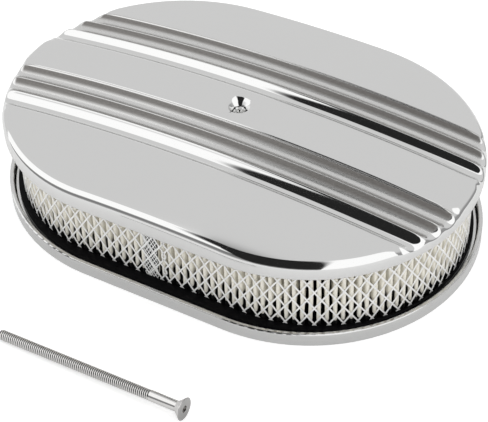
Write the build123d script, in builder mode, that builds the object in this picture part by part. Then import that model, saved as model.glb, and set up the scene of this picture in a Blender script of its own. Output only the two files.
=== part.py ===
from build123d import *
import os
from math import asin, atan, cos, degrees, hypot, pi, radians, sin, sqrt, tan

# Oval carburetor air cleaner, in millimetres.
# X runs along the flutes of the cover, Y across them and Z up. The origin is the centre
# of the neck bore, level with the underside of the base tray. The cover rests on the
# filter element, the element stands in the tray, and the centre bolt lies in front.

# Cover
COVER_LENGTH = 304.8
COVER_WIDTH = 209.6
COVER_SKIRT_LAP = 2.8
COVER_HEIGHT = 21.0
CROWN_ALONG = 10.6
CROWN_ACROSS = 8.5
COVER_EDGE_RADIUS = 4.0
COVER_PLATE = 6.5
COVER_SKIRT_WALL = 3.2

# Flutes in the cover
FLUTE_PITCH = 12.7
FLUTE_DEPTH = 3.5
FLUTES_PER_GROUP = 3
CENTRE_LAND_WIDTH = 32.0
LAND_EDGE_RADIUS = 5.0

# Ribs and boss under the cover
PRESS_RIB_INSET = 8.0
PRESS_RIB_WIDTH = 4.0
GUIDE_RIB_WIDTH = 2.4
GUIDE_RIB_REACH = 2.4
GUIDE_CLEARANCE = 0.5
BOSS_RADIUS = 12.0
BOSS_DROP = 8.0
BOLT_HOLE_RADIUS = 3.6
COUNTERSINK_RADIUS = 7.4
HEAD_ANGLE = 82

# Base tray
TRAY_LAP = 1.3
TRAY_RIM_HEIGHT = 8.6
TRAY_RIM_WALL = 2.8
TRAY_RIM_ROUND = 0.8
TRAY_INSIDE_ROUND = 1.2
TRAY_FLOOR = 3.0
NECK_RADIUS = 65.1
NECK_WALL = 3.0
NECK_HEIGHT = 11.0
NECK_LIP_WIDTH = 3.6
NECK_LIP_THICKNESS = 2.0
NECK_LIP_ROUND = 0.6
NECK_GASKET_WIDTH = 3.6
NECK_GASKET_THICKNESS = 1.6
NECK_GASKET_GROOVE = 0.6
NECK_GASKET_CLEARANCE = 0.2

# Filter element
ELEMENT_HEIGHT = 50.8
SEAL_INSET = 4.0
SEAL_WIDTH = 32.0
SEAL_THICKNESS = 3.2
SEAL_ROUND = 1.0
SEAL_GRIP = 1.6
MESH_SIDE_INSET = 11.4
MESH_END_INSET = 5.4
MESH_THICKNESS = 0.8
INNER_MESH_CLEARANCE = 0.1
SEAM_THICKNESS = 0.4
PAPER_THICKNESS = 0.6
PLEAT_DEPTH = 18.0
PLEAT_PITCH = 4.5
PLEAT_CREST = 1.9
PLEAT_GAP = 1.0
CREST_ROUND = 0.5
OUTER_MESH_COLUMNS = 28
INNER_MESH_COLUMNS = 16
MESH_ROWS = 4
MESH_STRAND = 1.6
SEAM_WIDTH = 9.0
SEAM_PLACE = -8.0
SEAM_COLUMNS = 2
SEAM_ROWS = 9
SEAM_STRAND = 0.9

# Centre bolt, a flat-head socket screw
BOLT_LENGTH = 123.8
BOLT_RADIUS = 3.175
BOLT_THREAD_RADIUS = 2.95
BOLT_PLAIN_SHANK = 14.0
BOLT_HEAD_RADIUS = 6.75
BOLT_HEAD_RIM = 0.4
BOLT_TIP_CHAMFER = 0.7
BOLT_SOCKET_ACROSS_FLATS = 4.0
BOLT_SOCKET_DEPTH = 2.6
BOLT_FACE_X = 63.3
BOLT_LINE_Y = -172.5

# How far cutting shapes pass what they cut, and how near counts as touching
CUT_MARGIN = 5.0
TOUCH_MARGIN = 0.05

# Heights and half-widths that follow
element_base = TRAY_FLOOR
element_top = element_base + ELEMENT_HEIGHT
cover_low = element_top - COVER_SKIRT_LAP
cover_top = cover_low + COVER_HEIGHT
straight = COVER_LENGTH - COVER_WIDTH
element_straight = straight + 2 * (MESH_SIDE_INSET - MESH_END_INSET)
seal_half = COVER_WIDTH / 2 - SEAL_INSET
seal_inner_half = seal_half - SEAL_WIDTH
mesh_half = COVER_WIDTH / 2 - MESH_SIDE_INSET
pleat_outer_half = mesh_half - MESH_THICKNESS - SEAM_THICKNESS
pleat_inner_half = pleat_outer_half - PLEAT_DEPTH
inner_mesh_half = pleat_inner_half - INNER_MESH_CLEARANCE
pleat_base = element_base + SEAL_THICKNESS - SEAL_GRIP
pleat_top = element_top - SEAL_THICKNESS + SEAL_GRIP
pleat_middle = (pleat_base + pleat_top) / 2
open_height = ELEMENT_HEIGHT - 2 * SEAL_THICKNESS

os.makedirs("parts", exist_ok=True)


def save(part, name):
    """Label a finished piece and write it."""
    part.label = name
    export_step(part, f"parts/{name}.step")


def oval(half_width, side_length=straight, mode=Mode.ADD):
    """The round-ended outline of every ring, at the given half-width."""
    return SlotOverall(side_length + 2 * half_width, 2 * half_width, mode=mode)


def oval_ring(outer_half, inner_half, side_length=straight):
    """The outline with a smaller one cut out of it."""
    oval(outer_half, side_length)
    oval(inner_half, side_length, mode=Mode.SUBTRACT)


def round_the_element(distance, half_width):
    """Place on a mesh's outline and its outward direction, from the middle of the front."""
    side = element_straight / 2
    arc = pi * half_width
    length = element_length(half_width)
    distance = distance % length
    if distance < side:
        return (distance, -half_width), (0, -1)
    if distance < side + arc:
        angle = (distance - side) / half_width - pi / 2
        out = (cos(angle), sin(angle))
        return (side + half_width * out[0], half_width * out[1]), out
    if distance < side + arc + element_straight:
        return (element_straight + arc - distance, half_width), (0, 1)
    if distance < side + 2 * arc + element_straight:
        angle = (distance - side - arc - element_straight) / half_width + pi / 2
        out = (cos(angle), sin(angle))
        return (-side + half_width * out[0], half_width * out[1]), out
    return (distance - length, -half_width), (0, -1)


def wall_plane(distance, half_width, height):
    """A plane on a mesh's wall, facing outwards with its Y axis up."""
    (x, y), (out_x, out_y) = round_the_element(distance, half_width)
    return Plane(origin=(x, y, height), x_dir=(-out_y, out_x, 0), z_dir=(out_x, out_y, 0))


def element_length(half_width):
    return 2 * (element_straight + pi * half_width)


def on_oval(point, half_width):
    """Whether a point lies on the upright wall over the outline."""
    beyond = max(0, abs(point.X) - straight / 2)
    return abs(hypot(beyond, point.Y) - half_width) < TOUCH_MARGIN


# Cover: a doubly crowned plate with open-ended flutes, a rounded edge and a short skirt
crown_radius_along = (COVER_LENGTH / 2) ** 2 / (2 * CROWN_ALONG)
crown_radius_across = (COVER_WIDTH / 2) ** 2 / (2 * CROWN_ACROSS)
flute_radius = (FLUTE_PITCH ** 2 / 4 + FLUTE_DEPTH ** 2) / (2 * FLUTE_DEPTH)
flute_offsets = [
    side * (CENTRE_LAND_WIDTH / 2 + (number + 0.5) * FLUTE_PITCH)
    for side in (-1, 1)
    for number in range(FLUTES_PER_GROUP)
]
land_edges = [
    side * (CENTRE_LAND_WIDTH / 2 + number * FLUTE_PITCH)
    for side in (-1, 1)
    for number in (0, FLUTES_PER_GROUP)
]
blank_half = COVER_WIDTH / 2 + CUT_MARGIN
blank_angle = degrees(asin((COVER_LENGTH / 2 + CUT_MARGIN) / crown_radius_along))
crown_axis = Axis((0, 0, cover_top - crown_radius_along), (0, 1, 0))
crown_plane = Plane(
    origin=crown_axis.position,
    x_dir=(0, 1, 0),
    z_dir=(cos(radians(blank_angle)), 0, sin(radians(blank_angle))),
)


def crown_height(y, top):
    """Height at y of the crossways crown whose middle is at the given height."""
    return top - crown_radius_across + sqrt(crown_radius_across ** 2 - y ** 2)


def crowned_section(top, depth):
    """Section across the cover, with heights measured from the crown's axis."""
    edge = crown_height(blank_half, top)
    low = top - depth
    with BuildLine() as outline:
        ThreePointArc((-blank_half, edge), (0, top), (blank_half, edge))
        Polyline((blank_half, edge), (blank_half, low), (-blank_half, low), (-blank_half, edge))
    make_face(outline.edges())


def is_rim_edge(edge):
    """Whether an edge runs along the top of the cover's outer wall."""
    ends = (edge @ 0, edge @ 0.5, edge @ 1)
    level = hypot(ends[0].X - ends[2].X, ends[0].Y - ends[2].Y) > TOUCH_MARGIN
    on_wall = all(on_oval(point, COVER_WIDTH / 2) for point in ends)
    return level and on_wall and ends[1].Z > cover_low + CUT_MARGIN


with BuildPart() as top_cover:
    with BuildSketch(crown_plane) as cover_section:
        crowned_section(crown_radius_along, COVER_HEIGHT + CUT_MARGIN)
        for offset_y in flute_offsets:
            rise = crown_height(offset_y, crown_radius_along) + flute_radius - FLUTE_DEPTH
            with Locations((offset_y, rise)):
                Circle(flute_radius, mode=Mode.SUBTRACT)
        land_corners = [
            corner
            for corner in cover_section.vertices()
            if min(abs(corner.X - land_edge) for land_edge in land_edges) < FLUTE_PITCH / 4
        ]
        fillet(land_corners, LAND_EDGE_RADIUS)
    revolve(axis=crown_axis, revolution_arc=2 * blank_angle)
    with BuildSketch(Plane.XY.offset(cover_low)):
        oval(COVER_WIDTH / 2)
    extrude(amount=COVER_HEIGHT + CUT_MARGIN, mode=Mode.INTERSECT)
    fillet(top_cover.edges().filter_by(is_rim_edge), COVER_EDGE_RADIUS)

# The hollow under the cover, less its press rib, guide rib and bolt boss
guide_rib_half = seal_inner_half - GUIDE_CLEARANCE
press_rib_half = COVER_WIDTH / 2 - PRESS_RIB_INSET
with BuildPart() as cover_hollow:
    with BuildSketch(crown_plane):
        crowned_section(crown_radius_along - COVER_PLATE, COVER_HEIGHT)
    revolve(axis=crown_axis, revolution_arc=2 * blank_angle)
    with BuildSketch(Plane.XY.offset(cover_low - CUT_MARGIN)):
        oval(COVER_WIDTH / 2 - COVER_SKIRT_WALL)
    extrude(amount=COVER_HEIGHT, mode=Mode.INTERSECT)
    with BuildSketch(Plane.XY.offset(element_top)):
        oval_ring(press_rib_half, press_rib_half - PRESS_RIB_WIDTH)
    extrude(amount=COVER_HEIGHT, mode=Mode.SUBTRACT)
    with BuildSketch(Plane.XY.offset(element_top - GUIDE_RIB_REACH)):
        oval_ring(guide_rib_half, guide_rib_half - GUIDE_RIB_WIDTH)
    extrude(amount=COVER_HEIGHT, mode=Mode.SUBTRACT)
    with BuildSketch(Plane.XY.offset(cover_top - COVER_PLATE - BOSS_DROP)):
        Circle(BOSS_RADIUS)
    extrude(amount=COVER_HEIGHT, mode=Mode.SUBTRACT)

with top_cover:
    add(cover_hollow.part, mode=Mode.SUBTRACT)
    with Locations((0, 0, cover_top)):
        CounterSinkHole(BOLT_HOLE_RADIUS, COUNTERSINK_RADIUS, counter_sink_angle=HEAD_ANGLE)
save(top_cover.part, "top_cover")


# Base tray: a flat floor, a low rim and a bored neck with a lip turned inwards at its top
tray_half = COVER_WIDTH / 2 + TRAY_LAP
neck_outer_radius = NECK_RADIUS + NECK_WALL
lip_base = NECK_HEIGHT - NECK_LIP_THICKNESS
gasket_base = lip_base - NECK_GASKET_THICKNESS
groove_radius = NECK_RADIUS + NECK_GASKET_GROOVE

with BuildPart() as base_tray:
    with BuildSketch():
        oval(tray_half)
    extrude(amount=TRAY_RIM_HEIGHT)
    with BuildSketch(Plane.XY.offset(TRAY_FLOOR)):
        oval(tray_half - TRAY_RIM_WALL)
    extrude(amount=TRAY_RIM_HEIGHT, mode=Mode.SUBTRACT)
    fillet(base_tray.edges().group_by(Axis.Z)[-1], TRAY_RIM_ROUND)
    floor_faces = base_tray.faces().filter_by_position(
        Axis.Z, TRAY_FLOOR - TOUCH_MARGIN, TRAY_FLOOR + TOUCH_MARGIN
    )
    fillet(floor_faces.edges(), TRAY_INSIDE_ROUND)
    with BuildSketch():
        Circle(neck_outer_radius)
    extrude(amount=NECK_HEIGHT)
    with BuildSketch():
        Circle(NECK_RADIUS)
    extrude(amount=lip_base, mode=Mode.SUBTRACT)
    with BuildSketch():
        Circle(NECK_RADIUS - NECK_LIP_WIDTH)
    extrude(amount=NECK_HEIGHT, mode=Mode.SUBTRACT)
    neck_rim = base_tray.edges().group_by(Axis.Z)[-1]
    fillet(neck_rim, NECK_LIP_ROUND)
    with BuildSketch(Plane.XY.offset(gasket_base)):
        Circle(groove_radius)
    extrude(amount=NECK_GASKET_THICKNESS, mode=Mode.SUBTRACT)
save(base_tray.part, "base_tray")


# Neck gasket, held in the groove under the neck's lip
gasket_outer_radius = groove_radius - NECK_GASKET_CLEARANCE

with BuildPart() as neck_gasket:
    with BuildSketch(Plane.XY.offset(gasket_base)):
        Circle(gasket_outer_radius)
        Circle(gasket_outer_radius - NECK_GASKET_WIDTH, mode=Mode.SUBTRACT)
    extrude(amount=NECK_GASKET_THICKNESS)
save(neck_gasket.part, "neck_gasket")


# Seals: moulded rings that hold the ends of the meshes and the paper in a groove
inner_mesh_bore = inner_mesh_half - MESH_THICKNESS


def seal_ring(base, groove_base):
    """A rounded flat ring on the given level, with its groove from the other level up."""
    with BuildPart() as ring:
        with BuildSketch(Plane.XY.offset(base)):
            oval_ring(seal_half, seal_inner_half)
        extrude(amount=SEAL_THICKNESS)
        outer_edges = ring.edges().filter_by(lambda edge: on_oval(edge @ 0.5, seal_half))
        fillet(outer_edges.filter_by(GeomType.CIRCLE) + outer_edges.filter_by(Plane.XY), SEAL_ROUND)
        with BuildSketch(Plane.XY.offset(groove_base)):
            oval_ring(mesh_half, inner_mesh_bore, element_straight)
        extrude(amount=SEAL_GRIP, mode=Mode.SUBTRACT)
    return ring.part


save(seal_ring(element_base, pleat_base), "lower_seal")
save(seal_ring(element_top - SEAL_THICKNESS, pleat_top - SEAL_GRIP), "upper_seal")


# Pleated paper: one folded sheet that runs back and forth between the two meshes
def pleat_profile(outer_pitch, inner_pitch):
    """Outer and inner side of one fold, as fractions of a pleat and depths."""
    crest = PLEAT_CREST / 2 / outer_pitch
    paper_at_crest = PAPER_THICKNESS / outer_pitch
    gap = PLEAT_GAP / 2 / inner_pitch
    paper_at_root = PAPER_THICKNESS / inner_pitch
    outside = [
        (gap - 0.5, PLEAT_DEPTH - PAPER_THICKNESS),
        (-crest, CREST_ROUND),
        (0, 0),
        (crest, CREST_ROUND),
        (0.5 - gap, PLEAT_DEPTH - PAPER_THICKNESS),
    ]
    inside = [
        (gap + paper_at_root - 0.5, PLEAT_DEPTH),
        (paper_at_crest - crest, CREST_ROUND + PAPER_THICKNESS),
        (crest - paper_at_crest, CREST_ROUND + PAPER_THICKNESS),
        (0.5 - gap - paper_at_root, PLEAT_DEPTH),
    ]
    return outside, inside


def pleat_loops():
    """The closed outer and inner outlines of the folded sheet."""
    side_count = round(element_straight / PLEAT_PITCH)
    end_count = round(pi * pleat_outer_half / PLEAT_PITCH)
    side_pitch = element_straight / side_count
    outer_pitch = pi * pleat_outer_half / end_count
    inner_pitch = pi * pleat_inner_half / end_count
    loops = ([], [])
    for end in (1, -1):
        for number in range(side_count):
            for loop, points in zip(loops, pleat_profile(side_pitch, side_pitch)):
                for along, depth in points:
                    x = (number + 0.5 + along) * side_pitch - element_straight / 2
                    loop.append((end * x, end * (depth - pleat_outer_half)))
        for number in range(end_count):
            for loop, points in zip(loops, pleat_profile(outer_pitch, inner_pitch)):
                for along, depth in points:
                    angle = (number + 0.5 + along) * pi / end_count - pi / 2
                    radius = pleat_outer_half - depth
                    x = element_straight / 2 + radius * cos(angle)
                    loop.append((end * x, end * radius * sin(angle)))
    return loops


with BuildPart() as paper_pleats:
    with BuildSketch(Plane.XY.offset(pleat_base)):
        outer_loop, inner_loop = pleat_loops()
        with BuildLine():
            Polyline(*outer_loop, close=True)
        make_face()
        with BuildLine():
            Polyline(*inner_loop, close=True)
        make_face(mode=Mode.SUBTRACT)
    extrude(amount=pleat_top - pleat_base)
save(paper_pleats.part, "paper_pleats")


# Meshes: expanded metal walls with diamond gaps, whose cut ends stand in the seals
def diamond(width, height, strand, mode=Mode.ADD):
    """A diamond gap, its cell made smaller by the width of a strand."""
    share = 1 - strand * hypot(width, height) / (width * height)
    across = width * share / 2
    up = height * share / 2
    Polygon((-across, 0), (0, -up), (across, 0), (0, up), mode=mode)


def mesh_wall(half_width, columns):
    """A wall round the oval with staggered rows of diamond gaps."""
    pitch = element_length(half_width) / columns
    rise = open_height / (MESH_ROWS - 1)
    gaps = [
        wall_plane((column + row % 2 / 2) * pitch, half_width, element_base + SEAL_THICKNESS + row * rise)
        for row in range(MESH_ROWS)
        for column in range(columns)
    ]
    with BuildPart() as wall:
        with BuildSketch(Plane.XY.offset(pleat_base)):
            oval_ring(half_width, half_width - MESH_THICKNESS, element_straight)
        extrude(amount=pleat_top - pleat_base)
        with BuildSketch(*gaps):
            diamond(pitch, 2 * rise, MESH_STRAND)
        extrude(amount=2 * MESH_THICKNESS, both=True, mode=Mode.SUBTRACT)
    return wall.part


save(mesh_wall(mesh_half, OUTER_MESH_COLUMNS), "outer_mesh")
save(mesh_wall(inner_mesh_half, INNER_MESH_COLUMNS), "inner_mesh")


# Seam strip: a narrow strip of finer mesh over the joint in the paper
seam_pitch = SEAM_WIDTH / SEAM_COLUMNS
seam_rise = open_height / (SEAM_ROWS - 1)
seam_plane = Plane(
    origin=(SEAM_PLACE, -pleat_outer_half, pleat_middle), x_dir=(1, 0, 0), z_dir=(0, -1, 0)
)

with BuildPart() as seam_strip:
    with BuildSketch(seam_plane):
        Rectangle(SEAM_WIDTH, pleat_top - pleat_base)
        for row in range(SEAM_ROWS):
            for column in range(SEAM_COLUMNS - row % 2):
                x = (column + 0.5 + row % 2 / 2) * seam_pitch - SEAM_WIDTH / 2
                with Locations((x, row * seam_rise - open_height / 2)):
                    diamond(seam_pitch, 2 * seam_rise, SEAM_STRAND, mode=Mode.SUBTRACT)
    extrude(amount=SEAM_THICKNESS)
save(seam_strip.part, "seam_strip")


# Centre bolt, lying on the edge of its head and the last crest of its thread. The thread is
# a plain cylinder of its mean radius.
bolt_reach = BOLT_LENGTH - BOLT_TIP_CHAMFER - BOLT_HEAD_RIM
bolt_slope = atan((BOLT_HEAD_RADIUS - BOLT_RADIUS) / bolt_reach)
bolt_face_height = BOLT_HEAD_RADIUS * cos(bolt_slope) + BOLT_HEAD_RIM * sin(bolt_slope)
bolt_face = Plane(
    origin=(BOLT_FACE_X, BOLT_LINE_Y, bolt_face_height),
    x_dir=(0, 1, 0),
    z_dir=(cos(bolt_slope), 0, sin(bolt_slope)),
)
bolt_section = Plane(origin=bolt_face.origin, x_dir=-bolt_face.z_dir, z_dir=(0, -1, 0))
cone_end = BOLT_HEAD_RIM + (BOLT_HEAD_RADIUS - BOLT_RADIUS) / tan(radians(HEAD_ANGLE / 2))
thread_start = cone_end + BOLT_PLAIN_SHANK

with BuildPart() as centre_bolt:
    with BuildSketch(bolt_section):
        with BuildLine():
            Polyline(
                (0, 0),
                (0, BOLT_HEAD_RADIUS),
                (BOLT_HEAD_RIM, BOLT_HEAD_RADIUS),
                (cone_end, BOLT_RADIUS),
                (thread_start, BOLT_RADIUS),
                (thread_start, BOLT_THREAD_RADIUS),
                (BOLT_LENGTH - BOLT_TIP_CHAMFER, BOLT_THREAD_RADIUS),
                (BOLT_LENGTH, BOLT_THREAD_RADIUS - BOLT_TIP_CHAMFER),
                (BOLT_LENGTH, 0),
                close=True,
            )
        make_face()
    revolve(axis=Axis(bolt_face.origin, bolt_section.x_dir))
    with BuildSketch(bolt_face):
        RegularPolygon(BOLT_SOCKET_ACROSS_FLATS / 2, side_count=6, major_radius=False)
    extrude(amount=-BOLT_SOCKET_DEPTH, mode=Mode.SUBTRACT)
save(centre_bolt.part, "centre_bolt")
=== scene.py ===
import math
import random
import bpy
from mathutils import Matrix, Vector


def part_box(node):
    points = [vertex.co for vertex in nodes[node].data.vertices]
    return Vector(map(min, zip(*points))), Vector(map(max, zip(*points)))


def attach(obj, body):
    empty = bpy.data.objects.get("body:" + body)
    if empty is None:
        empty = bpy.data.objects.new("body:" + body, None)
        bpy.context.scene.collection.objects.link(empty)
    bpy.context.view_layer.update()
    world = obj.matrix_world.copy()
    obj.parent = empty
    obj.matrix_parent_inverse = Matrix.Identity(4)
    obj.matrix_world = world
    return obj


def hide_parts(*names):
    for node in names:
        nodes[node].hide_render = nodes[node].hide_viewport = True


bl_info = {
    "name": "Oval Air Cleaner",
    "version": (1, 0, 0),
    "blender": (4, 5, 0),
    "location": "3D View > Sidebar > Air Cleaner",
    "description": "Finishes an oval carburetor air cleaner: cover, tray, filter element and bolt",
    "category": "Object",
}

import bmesh
import bpy
from bpy.props import FloatProperty, FloatVectorProperty, IntProperty, PointerProperty
from mathutils import Matrix, Vector

MM = 0.001
BODY = "root"
MERGE = 1e-6
FLAT = 1e-7
SHARP_ANGLE = math.radians(35)

# Share of a diamond that lies below the cut edge of an expanded sheet
SHEET_PHASE = 0.33

PAPER_SEED = 7

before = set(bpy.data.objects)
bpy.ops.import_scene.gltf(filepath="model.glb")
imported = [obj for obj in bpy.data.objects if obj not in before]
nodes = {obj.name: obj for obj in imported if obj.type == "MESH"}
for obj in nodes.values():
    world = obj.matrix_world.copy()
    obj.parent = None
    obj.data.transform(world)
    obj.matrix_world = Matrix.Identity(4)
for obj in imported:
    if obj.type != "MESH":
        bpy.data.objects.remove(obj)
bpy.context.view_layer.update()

cover_low, cover_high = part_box("top_cover")
mesh_low, mesh_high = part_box("outer_mesh")
inner_low, inner_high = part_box("inner_mesh")
paper_low, paper_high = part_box("paper_pleats")
strip_low, strip_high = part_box("seam_strip")
bolt_low, bolt_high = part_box("centre_bolt")
STRAIGHT = (cover_high.x - cover_low.x) - (cover_high.y - cover_low.y)
ELEMENT_STRAIGHT = (mesh_high.x - mesh_low.x) - (mesh_high.y - mesh_low.y)


# Shader maths

# Places of the Mix node's factor, its two colours and the colour that it gives
MIX_INPUTS = (0, 6, 7)
MIX_RESULT = 2


class Value:
    """A number or colour in a shader. Arithmetic on it adds Math nodes."""

    def __init__(self, tree, socket):
        self.tree = tree
        self.socket = socket

    def maths(self, operation, *others):
        return self.tree.add("ShaderNodeMath", {"operation": operation}, self, *others)

    def __add__(self, other):
        return self.maths("ADD", other)

    __radd__ = __add__

    def __sub__(self, other):
        return self.maths("SUBTRACT", other)

    def __rsub__(self, other):
        return self.maths("MULTIPLY_ADD", -1.0, other)

    def __mul__(self, other):
        return self.maths("MULTIPLY", other)

    __rmul__ = __mul__

    def __truediv__(self, other):
        return self.maths("DIVIDE", other)

    def __lt__(self, other):
        return self.maths("LESS_THAN", other)

    def __abs__(self):
        return self.maths("ABSOLUTE")

    def at_least(self, other):
        return self.maths("MAXIMUM", other)

    def step(self, start, end):
        """0 before start and 1 after end, with a smooth rise between them."""
        return self.tree.add(
            "ShaderNodeMapRange",
            {"interpolation_type": "SMOOTHSTEP"},
            self, start, end, 0.0, 1.0,
        )


class Tree:
    """A material's or world's node tree, emptied, with one method that adds any node."""

    def __init__(self, owner):
        owner.use_nodes = True
        self.nodes = owner.node_tree.nodes
        self.links = owner.node_tree.links
        self.nodes.clear()

    def node(self, kind, settings, *inputs, **named):
        made = self.nodes.new(kind)
        for key, setting in settings.items():
            setattr(made, key, setting)
        for index, value in enumerate(inputs):
            self.plug(made.inputs[index], value)
        for key, value in named.items():
            self.plug(made.inputs[key.replace("_", " ")], value)
        return made

    def plug(self, socket, value):
        if isinstance(value, Value):
            self.links.new(value.socket, socket)
        elif value is not None:
            socket.default_value = value

    def add(self, kind, settings, *inputs, output=0, **named):
        return Value(self, self.node(kind, settings, *inputs, **named).outputs[output])

    def mix(self, factor, first, second):
        """A colour between the first and the second."""
        made = self.node("ShaderNodeMix", {"data_type": "RGBA"})
        for index, value in zip(MIX_INPUTS, (factor, first, second)):
            self.plug(made.inputs[index], value)
        return Value(self, made.outputs[MIX_RESULT])

    def split(self, vector):
        made = self.node("ShaderNodeSeparateXYZ", {}, vector)
        return [Value(self, output) for output in made.outputs]

    def object_place(self, stretch=(1, 1, 1)):
        """Object coordinates in metres, scaled along each axis."""
        coordinates = self.add("ShaderNodeTexCoord", {}, output="Object")
        return self.add("ShaderNodeMapping", {}, coordinates, Scale=stretch)

    def noise(self, place, scale, detail=3.0, roughness=0.5):
        return self.add(
            "ShaderNodeTexNoise", {}, Vector=place, Scale=scale, Detail=detail, Roughness=roughness
        )

    def bump(self, height, distance, strength=1.0, normal=None):
        return self.add(
            "ShaderNodeBump", {}, Strength=strength, Distance=distance, Height=height, Normal=normal
        )

    def finish(self, shader, target="ShaderNodeOutputMaterial"):
        self.node(target, {}, Surface=shader)


# Textures: repeats in a metre, along each axis where there are three numbers
CLOUDS = 18.0
COVER_LINES = (6.0, 300.0, 300.0)
COVER_GRAIN = (500, 1400, 900)
TRAY_LINES = (30.0, 30.0, 400.0)
RUBBER_SKIN = 160.0
PAPER_FIBRES = (900, 900, 260)
PAPER_BLOTCHES = 60.0
COATING_RUNS = 700.0
TURNING_MARKS = (4000, 300, 300)

# Metal: a shade is a share of its colour, and a depth is the real one
CLOUD_SHADE = 0.985
BUFFING_BLUR = 0.03
BUFFING_DEPTH = 0.01 * MM
SPECKLE = (0.60, 0.59, 0.57)
# Painted shade: how far the flute walls with painted shade lose their metal look
PAINTED_SHADE_DULLNESS = 0.85

# Where a flute's wall with painted shade starts and stops, in pitches from the middle of its floor
WALL_FOOT = (0.08, 0.34)
WALL_RIDGE = (0.455, 0.485)

# Sealant on the paper: up to where it covers the folds. Painted shade between the folds: how far in
# it starts, how it climbs between them and how it fades
# Near black, for the sealed feet and for the painted shade
SEALANT_AND_SHADE_COLOUR = (0.01, 0.01, 0.01)
SEALANT_FOOT = 3.2 * MM
SEALANT_SLOPE = 1.2
SHADE_CLIMB = 3 * MM
SHADE_SPREAD = 18 * MM
SHADE_DEPTH = (1.0 * MM, 2.4 * MM)
SEALANT_EDGE = 0.5 * MM
SHADE_FADE = 5 * MM

# Bolt: share of the colour that the painted shade in the thread's roots leaves, and how much of
# that darkening the head's face has
SHADE_SHARE = 0.12
FACE_DARKENING = 0.45
FACE_DEPTH = (0.1 * MM, 0.4 * MM)


def colour(rgb):
    return (*rgb, 1.0)


def reach_from_line(x, y, straight):
    """Distance in a shader from the line that an oval's round ends are struck from."""
    beside = (abs(x) - straight / 2).at_least(0.0)
    return (beside * beside + y * y).maths("SQRT")


def new_material(name):
    material = bpy.data.materials.new(name)
    return material, Tree(material)


def dimmed(rgb, share):
    return colour([channel * share for channel in rgb])


def polished_metal(name, rgb, roughness, soften, grain_direction):
    """Polished casting: mirror-like, with faint buffing lines and softened edges."""
    material, tree = new_material(name)
    cloud = tree.noise(tree.object_place(), CLOUDS, detail=2.0)
    lines = tree.noise(tree.object_place(grain_direction), 1.0, detail=4.0, roughness=0.6)
    tone = tree.mix(cloud, dimmed(rgb, CLOUD_SHADE), colour(rgb))
    edge = tree.add("ShaderNodeBevel", {"samples": 6}, Radius=soften)
    surface = tree.add(
        "ShaderNodeBsdfPrincipled", {},
        Base_Color=tone,
        Metallic=1.0,
        Roughness=roughness + lines * BUFFING_BLUR,
        Normal=tree.bump(lines, BUFFING_DEPTH, strength=0.15, normal=edge),
    )
    tree.finish(surface)
    return material


def polished_cover(name, settings, half_width):
    """Mirror-polished lands. In each group the first two flutes from +Y are satin, and their walls
    carry painted shade: a dull dark grey between bright ridges."""
    material, tree = new_material(name)
    x, y = tree.split(tree.object_place())[:2]
    streaks = tree.noise(tree.object_place(COVER_LINES), 1.0, detail=4.0, roughness=0.6)
    grain = tree.noise(tree.object_place(COVER_GRAIN), 1.0, detail=3.0, roughness=0.7)
    cloud = tree.noise(tree.object_place(), CLOUDS, detail=2.0)
    pitch = settings.flute_pitch
    start = settings.centre_land / 2
    end = start + pitch * settings.flute_count
    soft = 0.6 * MM
    soft_edge = MM
    front = 0 - y
    first_back = start + pitch
    last_front = end - pitch
    in_back = y.step(first_back - soft, first_back + soft) * (1 - y.step(end, end + 2 * soft))
    in_front = front.step(start - 2 * soft, start) * (
        1 - front.step(last_front - soft, last_front + soft)
    )
    reach = reach_from_line(x, y, STRAIGHT)
    edge = half_width - settings.edge_round
    on_top = 1 - reach.step(edge - soft_edge / 2, edge + soft_edge * 1.5)
    satin = (in_back + in_front) * on_top
    from_floor = abs(((abs(y) - start) / pitch).maths("FRACT") - 0.5)
    # Painted shade: the walls of the satin flutes get a dark grey that is less metallic
    wall = from_floor.step(*WALL_FOOT) * (1 - from_floor.step(*WALL_RIDGE)) * satin
    raw = tree.mix(grain, dimmed(settings.painted_flute_shade, 0.6), dimmed(settings.painted_flute_shade, 1.3))
    polished = tree.mix(
        cloud, dimmed(settings.metal_colour, CLOUD_SHADE), colour(settings.metal_colour)
    )
    speckled = tree.mix(satin * grain * 0.5, polished, colour(SPECKLE))
    surface = tree.add(
        "ShaderNodeBsdfPrincipled", {},
        Base_Color=tree.mix(wall, speckled, raw),
        Metallic=1.0 - wall * PAINTED_SHADE_DULLNESS,
        Roughness=(
            settings.mirror + satin * (settings.satin - settings.mirror) + streaks * BUFFING_BLUR
        ),
        Normal=tree.bump(streaks, BUFFING_DEPTH, strength=0.12),
    )
    tree.finish(surface)
    return material


def moulded_rubber(name, rgb, roughness):
    """Moulded seal rubber: near black, glossy, with a faint uneven skin."""
    material, tree = new_material(name)
    skin = tree.noise(tree.object_place(), RUBBER_SKIN, detail=3.0)
    surface = tree.add(
        "ShaderNodeBsdfPrincipled", {},
        Base_Color=tree.mix(skin, colour(rgb), dimmed(rgb, 1.6)),
        Roughness=roughness + skin * 0.08,
        Specular_IOR_Level=0.06,
        Normal=tree.bump(skin, 0.08 * MM, strength=0.4),
    )
    tree.finish(surface)
    return material


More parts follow.
